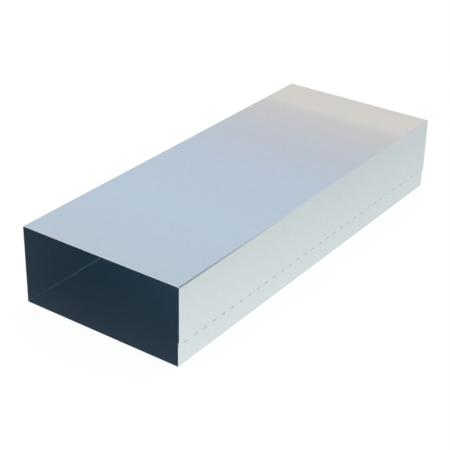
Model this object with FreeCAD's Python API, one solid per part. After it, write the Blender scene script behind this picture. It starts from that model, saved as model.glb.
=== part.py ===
import FreeCAD, Part
import math
import os

# Flat channel duct: one length of galvanised steel sheet, bent round four corners into
# a flat box section, open at both ends, and closed along its right-hand wall by a
# snap-lock seam. Millimetres. X is across the duct, Y is along it and Z is up. The
# origin is on the floor under the middle of the duct.

# Overall size, over the outside of the sheet
width = 200.0
height = 90.0
length = 500.0

# Sheet, and the inside radius of its four bends
sheet = 0.5
bend_radius = 1.0

# Seam: the lower wall's edge is turned back outwards as a hem, the upper wall laps over
# it on the outside, and buttons pressed into the lap catch under the hem's free edge.
# The rim is the strip of lap left plain below the buttons.
catch_height = 25.9
hem_depth = 1.8
lap_rim = 1.7

# Room left in the seam: inside the hem, between hem and lap, and above the buttons
hem_gap = 0.06
lap_gap = 0.05
catch_gap = 0.1

# Buttons: half-moons slit along their upper side and pressed inwards by a round punch.
# The land is the flat bottom of a button, and the first one is measured from the near end.
button_length = 9.2
button_height = 1.5
land_height = 0.35
button_pitch = 15.25
first_button = 10.0

# Faces that follow from these
right = width / 2
left = -width / 2
near = -length / 2
hem_face = right - sheet - lap_gap
lower_right = hem_face - sheet - hem_gap
hem_edge = catch_height + catch_gap
hem_top = hem_edge + hem_depth
lap_edge = catch_height - button_height - lap_rim


def section_point(x, z):
    """A point of the section, drawn at the duct's near end."""
    return FreeCAD.Vector(x, near, z)


def bend(x, z, radius, start, end):
    """Arc of the section about a centre, between two angles in degrees."""
    angles = [math.radians(angle) for angle in (start, (start + end) / 2, end)]
    points = [section_point(x + radius * math.cos(a), z + radius * math.sin(a)) for a in angles]
    return Part.Arc(*points)


def sheet_side(inset):
    """One side of the sheet, from the lap's edge round to the hem's edge.

    An inset of nothing gives the outside, and of one sheet the inside.
    """
    outer_radius = bend_radius + sheet
    hem_radius = hem_gap / 2
    high = height - outer_radius
    bends = [
        bend(right - outer_radius, high, outer_radius - inset, 0, 90),
        bend(left + outer_radius, high, outer_radius - inset, 90, 180),
        bend(left + outer_radius, outer_radius, outer_radius - inset, 180, 270),
        bend(lower_right - outer_radius, outer_radius, outer_radius - inset, 270, 360),
        bend(lower_right + hem_radius, hem_top - sheet - hem_radius, hem_radius + inset, 180, 0),
    ]
    end = section_point(right - inset, lap_edge)
    edges = []
    for corner in bends:
        edges.append(Part.LineSegment(end, corner.StartPoint).toShape())
        edges.append(corner.toShape())
        end = corner.EndPoint
    hem_end = section_point(lower_right + hem_gap + inset, hem_edge)
    edges.append(Part.LineSegment(end, hem_end).toShape())
    return edges


def button_hollow(y):
    """Hollow that the punch leaves in the outside of the lap, below the slit."""
    depth = right - hem_face
    mouth_radius = button_length**2 / (8 * button_height) + button_height / 2
    land_radius = mouth_radius - button_height + land_height
    button_foot = catch_height - button_height
    centre = FreeCAD.Vector(hem_face, y, button_foot + mouth_radius)
    punch = Part.makeCone(land_radius, mouth_radius, depth, centre, FreeCAD.Vector(1, 0, 0))
    corner = FreeCAD.Vector(hem_face, y - button_length / 2, button_foot)
    return punch.common(Part.makeBox(depth, button_length, button_height, corner))


# The bent sheet: both sides of its section, closed across its two edges
outside = sheet_side(0)
inside = sheet_side(sheet)
hem_close = Part.makeLine(outside[-1].lastVertex().Point, inside[-1].lastVertex().Point)
lap_close = Part.makeLine(outside[0].firstVertex().Point, inside[0].firstVertex().Point)
section = Part.Face(Part.Wire(outside + [hem_close] + inside[::-1] + [lap_close]))
duct = section.extrude(FreeCAD.Vector(0, length, 0))

# Buttons along the lap. The back of a button is the same form as its hollow, one sheet
# further in, so the pressed metal keeps its thickness and stands under the hem.
button_count = int((length - 2 * first_button) / button_pitch) + 1
hollows = [button_hollow(near + first_button + i * button_pitch) for i in range(button_count)]
backs = [hollow.translated(FreeCAD.Vector(-sheet, 0, 0)) for hollow in hollows]
duct = duct.fuse(backs).cut(hollows)

os.makedirs("parts", exist_ok=True)
duct.exportStep("parts/duct_channel.step")
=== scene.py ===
import bpy
import math
from mathutils import Matrix, Vector


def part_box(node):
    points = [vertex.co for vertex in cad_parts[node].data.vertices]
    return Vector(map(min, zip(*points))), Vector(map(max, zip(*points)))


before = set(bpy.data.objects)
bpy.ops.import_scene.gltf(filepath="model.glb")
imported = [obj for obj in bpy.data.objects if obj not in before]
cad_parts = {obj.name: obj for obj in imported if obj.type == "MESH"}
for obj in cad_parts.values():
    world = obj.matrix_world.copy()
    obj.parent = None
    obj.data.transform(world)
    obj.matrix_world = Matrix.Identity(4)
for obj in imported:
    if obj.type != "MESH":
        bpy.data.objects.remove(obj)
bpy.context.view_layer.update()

# The duct: one sheet of hot-dip galvanised steel, bent round four tight corners and hooked
# to itself by the snap-lock seam on its right-hand wall. Its skin is bright rolled zinc,
# rougher inside and painted darker there as painted shade, crazed along the bends and painted
# lighter there partly as a painted highlight, with a painted dark reflection on the upper
# seam-side bend near the front end; the sheared ends show bare steel.
ZINC = (0.69, 0.762, 0.767, 1.0)
ZINC_DULL_CRYSTAL = (0.672, 0.745, 0.755, 1.0)
ZINC_METAL = 0.95
ZINC_ROUGHNESS = (0.035, 0.06)
CRYSTAL_SIZE = 0.004
# The inside colour is painted shade: a darker, bluer zinc that stands in for the shade inside the
# duct
INSIDE_PAINTED_SHADE = (0.48, 0.603, 0.676, 1.0)
INSIDE_METAL = 0.93
INSIDE_ROUGHNESS = 0.28
INSIDE_FACING = -0.01
# The bend colour is partly crazed zinc and partly a painted highlight along the bend lines
CRAZED_ZINC_AND_PAINTED_HIGHLIGHT = (0.76, 0.825, 0.81, 1.0)
CRAZED_ROUGHNESS = 0.25
CRAZED_REACH = 0.0012
CRAZED_FADE = 0.0004
# The dark colour on the upper seam-side bend near the front end is a painted dark reflection
PAINTED_BEND_REFLECTION = (0.35, 0.415, 0.44, 1.0)
PAINTED_BEND_REFLECTION_LENGTH = 0.19
CUT_STEEL = (0.72, 0.75, 0.76, 1.0)
CUT_ROUGHNESS = 0.25
CUT_SKIN = 0.00002
SHEET_WAVE_SIZE = 0.14
SHEET_WAVE_DETAIL = 0.0
SHEET_WAVE_HEIGHT = 0.00005
ROLL_MARK_SIZE = 0.0006
ROLL_MARK_STRETCH = 50.0
ROLL_MARK_DETAIL = 2.0
ROLL_MARK_HEIGHT = 0.000001

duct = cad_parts["duct_channel"]
low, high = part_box("duct_channel")
half_width = (high[0] - low[0]) / 2
half_length = (high[1] - low[1]) / 2
half_height = (high[2] - low[2]) / 2

zinc = bpy.data.materials.new("galvanised_zinc")
zinc.use_nodes = True
coat = zinc.node_tree
skin = coat.nodes["Principled BSDF"]


def step(tree, kind, values=None, **settings):
    """Adds one node to a finish, sets its options and its plain input values."""
    made = tree.nodes.new(kind)
    for name, value in settings.items():
        setattr(made, name, value)
    for socket, value in (values or {}).items():
        made.inputs[socket].default_value = value
    return made


def join(tree, source, target, outlet=0, inlet=0):
    """Feeds one node's output into another's input."""
    tree.links.new(source.outputs[outlet], target.inputs[inlet])


def blend_of(tree, kind, share, first, second):
    """Mixes two finishes by a share; each is a node's output or a plain value."""
    mixed = step(tree, "ShaderNodeMix", data_type=kind)
    sockets = [s for s in mixed.inputs if s.enabled]
    for socket, source in zip(sockets, (share, first, second)):
        if isinstance(source, bpy.types.NodeSocket):
            tree.links.new(source, socket)
        else:
            socket.default_value = source
    return next(s for s in mixed.outputs if s.enabled)


place = step(coat, "ShaderNodeTexCoord")
spot = step(coat, "ShaderNodeSeparateXYZ")
join(coat, place, spot, "Object", "Vector")

# Zinc crystals: small cells of slightly different lightness and sheen
crystals = step(coat, "ShaderNodeTexVoronoi", {"Scale": 1 / CRYSTAL_SIZE}, feature="F1")
join(coat, place, crystals, "Object", "Vector")
crystal_tone = step(coat, "ShaderNodeSeparateColor")
join(coat, crystals, crystal_tone, "Color", "Color")
sheen = step(coat, "ShaderNodeMapRange", {"To Min": ZINC_ROUGHNESS[0], "To Max": ZINC_ROUGHNESS[1]})
join(coat, crystal_tone, sheen, "Green", "Value")
tint = blend_of(coat, "RGBA", crystal_tone.outputs["Red"], ZINC, ZINC_DULL_CRYSTAL)

# Inside: the faces turned towards the middle of the air way are rougher and a little less metallic,
# and their zinc is painted darker and bluer as painted shade
from_mid_height = step(coat, "ShaderNodeMath", {1: low[2] + half_height}, operation="SUBTRACT")
join(coat, spot, from_mid_height, "Z")
from_axis = step(coat, "ShaderNodeCombineXYZ")
join(coat, spot, from_axis, "X", "X")
join(coat, from_mid_height, from_axis, 0, "Z")
facing = step(coat, "ShaderNodeVectorMath", operation="DOT_PRODUCT")
join(coat, place, facing, "Normal", 0)
join(coat, from_axis, facing, 0, 1)
inside = step(coat, "ShaderNodeMath", {1: INSIDE_FACING}, operation="LESS_THAN")
join(coat, facing, inside, "Value", 0)
tint = blend_of(coat, "RGBA", inside.outputs[0], tint, INSIDE_PAINTED_SHADE)
roughness = blend_of(coat, "FLOAT", inside.outputs[0], sheen.outputs["Result"], INSIDE_ROUGHNESS)
metal = blend_of(coat, "FLOAT", inside.outputs[0], ZINC_METAL, INSIDE_METAL)
coat.links.new(metal, skin.inputs["Metallic"])

# Bends: the zinc is crazed and rougher within a short reach of the section's four corners, and is
# painted lighter there, partly as a painted highlight along the bend lines
from_side = step(coat, "ShaderNodeMath", operation="ABSOLUTE")
join(coat, spot, from_side, "X")
side_depth = step(coat, "ShaderNodeMath", {0: half_width}, operation="SUBTRACT")
join(coat, from_side, side_depth, 0, 1)
from_mid = step(coat, "ShaderNodeMath", operation="ABSOLUTE")
join(coat, from_mid_height, from_mid)
face_depth = step(coat, "ShaderNodeMath", {0: half_height}, operation="SUBTRACT")
join(coat, from_mid, face_depth, 0, 1)
corner_gap = step(coat, "ShaderNodeCombineXYZ")
join(coat, side_depth, corner_gap, 0, "X")
join(coat, face_depth, corner_gap, 0, "Y")
corner_distance = step(coat, "ShaderNodeVectorMath", operation="LENGTH")
join(coat, corner_gap, corner_distance)
near_bend = step(coat, "ShaderNodeMapRange", {
    "From Min": CRAZED_REACH, "From Max": CRAZED_REACH + CRAZED_FADE, "To Min": 1.0, "To Max": 0.0})
join(coat, corner_distance, near_bend, "Value", "Value")
tint = blend_of(coat, "RGBA", near_bend.outputs["Result"], tint, CRAZED_ZINC_AND_PAINTED_HIGHLIGHT)
roughness = blend_of(coat, "FLOAT", near_bend.outputs["Result"], roughness, CRAZED_ROUGHNESS)

# Painted reflection: the upper bend on the seam's side is painted dark near the front end, a painted
# dark reflection that fades along the duct
painted_reflection_fade = step(coat, "ShaderNodeMapRange", {
    "From Min": -half_length, "From Max": -half_length + PAINTED_BEND_REFLECTION_LENGTH, "To Min": 1.0, "To Max": 0.0})
join(coat, spot, painted_reflection_fade, "Y", "Value")
across_and_up = step(coat, "ShaderNodeMath", operation="ADD")
join(coat, spot, across_and_up, "X", 0)
join(coat, spot, across_and_up, "Z", 1)
upper_bend = step(coat, "ShaderNodeMath", {1: half_width + half_height}, operation="GREATER_THAN")
join(coat, across_and_up, upper_bend)
painted_reflection_side = step(coat, "ShaderNodeMath", operation="MULTIPLY")
join(coat, painted_reflection_fade, painted_reflection_side, "Result", 0)
join(coat, upper_bend, painted_reflection_side, 0, 1)
painted_reflection = step(coat, "ShaderNodeMath", operation="MULTIPLY")
join(coat, painted_reflection_side, painted_reflection, 0, 0)
join(coat, near_bend, painted_reflection, "Result", 1)
tint = blend_of(coat, "RGBA", painted_reflection.outputs[0], tint, PAINTED_BEND_REFLECTION)

# Cut ends: the sheared edge of the sheet shows bare steel
from_middle = step(coat, "ShaderNodeMath", operation="ABSOLUTE")
join(coat, spot, from_middle, "Y")
at_cut = step(coat, "ShaderNodeMath", {1: half_length - CUT_SKIN}, operation="GREATER_THAN")
join(coat, from_middle, at_cut)
tint = blend_of(coat, "RGBA", at_cut.outputs[0], tint, CUT_STEEL)
roughness = blend_of(coat, "FLOAT", at_cut.outputs[0], roughness, CUT_ROUGHNESS)
coat.links.new(tint, skin.inputs["Base Color"])
coat.links.new(roughness, skin.inputs["Roughness"])

# Surface: the thin sheet waves a little, and the drag of the rolls runs along the duct
waves = step(coat, "ShaderNodeTexNoise", {"Scale": 1 / SHEET_WAVE_SIZE, "Detail": SHEET_WAVE_DETAIL})
join(coat, place, waves, "Object", "Vector")
wave_bump = step(coat, "ShaderNodeBump", {"Strength": 1.0, "Distance": SHEET_WAVE_HEIGHT})
join(coat, waves, wave_bump, 0, "Height")
stretch = step(coat, "ShaderNodeMapping", {"Scale": (1, 1 / ROLL_MARK_STRETCH, 1)})
join(coat, place, stretch, "Object", "Vector")
streaks = step(coat, "ShaderNodeTexNoise", {"Scale": 1 / ROLL_MARK_SIZE, "Detail": ROLL_MARK_DETAIL})
join(coat, stretch, streaks, "Vector", "Vector")
streak_bump = step(coat, "ShaderNodeBump", {"Strength": 1.0, "Distance": ROLL_MARK_HEIGHT})
join(coat, streaks, streak_bump, 0, "Height")
join(coat, wave_bump, streak_bump, "Normal", "Normal")
join(coat, streak_bump, skin, "Normal", "Normal")

for slot in duct.material_slots:
    slot.material = zinc

# Floor: a broad white paper sweep that takes the duct's soft shadow. It shows white to the
# eye, and to the metal it shows a painted pool of light: white close by, a little greyer further off.
FLOOR_HALF = 30.0
FLOOR_DROP = 0.0002
FLOOR_PAPER = (0.86, 0.86, 0.86, 1.0)
FLOOR_PAPER_SEEN = (0.1, 0.1, 0.1, 1.0)
FLOOR_GLOW_SEEN = 0.93
FLOOR_GLOW_BESIDE = 0.95
FLOOR_GLOW_AWAY = 0.72
FLOOR_GLOW_REACH = 0.2
FLOOR_GLOW_ALONG = 0.21

sweep_mesh = bpy.data.meshes.new("paper_sweep")
corners = [(sx * FLOOR_HALF, sy * FLOOR_HALF, 0.0) for sx, sy in ((-1, -1), (1, -1), (1, 1), (-1, 1))]
sweep_mesh.from_pydata(corners, [], [(0, 1, 2, 3)])
sweep = bpy.data.objects.new("paper_sweep", sweep_mesh)
bpy.context.collection.objects.link(sweep)
sweep.location.z = low[2] - FLOOR_DROP

paper = bpy.data.materials.new("white_paper")
paper.use_nodes = True
pulp = paper.node_tree
pulp.nodes.remove(pulp.nodes["Principled BSDF"])
matt = step(pulp, "ShaderNodeBsdfDiffuse")
glow = step(pulp, "ShaderNodeEmission")

# The painted pool of light that the metal shows fades away from the duct's side and, slower, from its
# near end
floor_place = step(pulp, "ShaderNodeTexCoord")
floor_spot = step(pulp, "ShaderNodeSeparateXYZ")
join(pulp, floor_place, floor_spot, "Object")
aside = step(pulp, "ShaderNodeMath", operation="ABSOLUTE")
join(pulp, floor_spot, aside, "X")
reach = step(pulp, "ShaderNodeMath", {1: FLOOR_GLOW_ALONG}, operation="MULTIPLY_ADD")
join(pulp, floor_spot, reach, "Y", 0)
join(pulp, aside, reach, 0, 2)
near_foot = half_width - FLOOR_GLOW_ALONG * half_length
glow_level = step(pulp, "ShaderNodeMapRange", {
    "From Min": near_foot, "From Max": near_foot + FLOOR_GLOW_REACH,
    "To Min": FLOOR_GLOW_BESIDE, "To Max": FLOOR_GLOW_AWAY})
join(pulp, reach, glow_level, 0, "Value")

# The eye, metal and glass meet the glow over darker paper, which still takes the shadow.
# All other light meets plain white paper.
ray = step(pulp, "ShaderNodeLightPath")
seen = step(pulp, "ShaderNodeMath", operation="ADD")
join(pulp, ray, seen, "Is Camera Ray", 0)
join(pulp, ray, seen, "Is Glossy Ray", 1)
seen_through = step(pulp, "ShaderNodeMath", operation="ADD", use_clamp=True)
join(pulp, seen, seen_through, 0, 0)
join(pulp, ray, seen_through, "Is Transmission Ray", 1)
shown_level = blend_of(
    pulp, "FLOAT", ray.outputs["Is Camera Ray"], glow_level.outputs["Result"], FLOOR_GLOW_SEEN)
strength = step(pulp, "ShaderNodeMath", operation="MULTIPLY")
pulp.links.new(shown_level, strength.inputs[0])
join(pulp, seen_through, strength, 0, 1)
join(pulp, strength, glow, 0, "Strength")
paper_tone = blend_of(pulp, "RGBA", seen_through.outputs[0], FLOOR_PAPER, FLOOR_PAPER_SEEN)
pulp.links.new(paper_tone, matt.inputs["Color"])
both = step(pulp, "ShaderNodeAddShader")
join(pulp, matt, both, 0, 0)
join(pulp, glow, both, 0, 1)
join(pulp, both, pulp.nodes["Material Output"], 0, "Surface")
sweep_mesh.materials.append(paper)

# Studio: pale walls and a ceiling that run square across the duct's ends and light it softly.
# A wall fades from the white floor into grey, then has a warm panel with a clean upper edge,
# and the rest is cool white. Angles are in degrees above the floor.
STUDIO_BANDS = [
    (9.0, (0.44, 0.46, 0.49)),
    (17.0, (0.72, 0.65, 0.62)),
    (24.0, (0.88, 0.78, 0.75)),
    (25.75, (0.945, 0.83, 0.77)),
    (25.85, (0.79, 0.70, 0.715)),
    (26.75, (0.795, 0.71, 0.745)),
    (26.85, (0.755, 0.705, 0.755)),
    (28.0, (0.71, 0.70, 0.78)),
    (30.0, (0.68, 0.73, 0.87)),
    (33.0, (0.68, 0.755, 0.90)),
    (38.0, (0.68, 0.73, 0.83)),
    (45.0, (0.80, 0.81, 0.835)),
]
WALL_FOOT = (1.0, 1.0, 1.0, 1.0)
WALL_FOOT_FADE = 8.0

studio = bpy.data.worlds.new("studio_walls")
studio.use_nodes = True
walls = studio.node_tree
back = walls.nodes["Background"]
look = step(walls, "ShaderNodeTexCoord")
look_parts = step(walls, "ShaderNodeSeparateXYZ")
join(walls, look, look_parts, "Generated", "Vector")
along = step(walls, "ShaderNodeMath", operation="ABSOLUTE")
join(walls, look_parts, along, "Y")
rise = step(walls, "ShaderNodeMath", operation="ARCTAN2")
join(walls, look_parts, rise, "Z", 0)
join(walls, along, rise, 0, 1)

# The bands fill the ramp from the lowest angle to the highest, so that their edges stay clean.
# A new ramp already has two stops, which the first two bands take.
lowest = STUDIO_BANDS[0][0]
highest = STUDIO_BANDS[-1][0]
climb = step(walls, "ShaderNodeMapRange", {
    "From Min": math.radians(lowest), "From Max": math.radians(highest)})
join(walls, rise, climb, 0, "Value")
bands = step(walls, "ShaderNodeValToRGB")
stops = bands.color_ramp.elements
ready_stops = len(stops)
for i, (angle, colour) in enumerate(STUDIO_BANDS):
    share_up = (angle - lowest) / (highest - lowest)
    if i < ready_stops:
        stop = stops[i]
        stop.position = share_up
    else:
        stop = stops.new(share_up)
    stop.color = (*colour, 1.0)
join(walls, climb, bands, "Result", "Fac")

foot_share = step(walls, "ShaderNodeMapRange", {
    "From Max": math.radians(WALL_FOOT_FADE), "To Min": 1.0, "To Max": 0.0})
join(walls, rise, foot_share, 0, "Value")
wall_tone = blend_of(walls, "RGBA", foot_share.outputs["Result"], bands.outputs["Color"], WALL_FOOT)
walls.links.new(wall_tone, back.inputs["Color"])
bpy.context.scene.world = studio

# Camera: a long lens that stands to the right of the near end and looks down on the duct.
# Light passes along the open duct in many bounces off its walls before it reaches the eye.
CAMERA_AZIMUTH = 35.15
CAMERA_ELEVATION = 28.07
CAMERA_ROLL = 1.13
CAMERA_AIM = Vector((0.0132, -0.0552, 0.0453))
CAMERA_DISTANCE = 1.323
CAMERA_LENS = 96.34
CAMERA_SENSOR = 36.0
CAMERA_FARTHEST = 200.0
DUCT_BOUNCES = 12

lens = bpy.data.cameras.new("camera")
lens.lens = CAMERA_LENS
lens.sensor_width = CAMERA_SENSOR
lens.clip_end = CAMERA_FARTHEST
camera = bpy.data.objects.new("camera", lens)
bpy.context.collection.objects.link(camera)
turn = (
    Matrix.Rotation(math.radians(CAMERA_AZIMUTH), 4, "Z")
    @ Matrix.Rotation(math.radians(90 - CAMERA_ELEVATION), 4, "X")
    @ Matrix.Rotation(math.radians(CAMERA_ROLL), 4, "Z")
)
camera.matrix_world = Matrix.Translation(CAMERA_AIM + turn @ Vector((0, 0, CAMERA_DISTANCE))) @ turn
bpy.context.scene.camera = camera
bpy.context.scene.view_settings.view_transform = "Standard"
bpy.context.scene.cycles.glossy_bounces = DUCT_BOUNCES
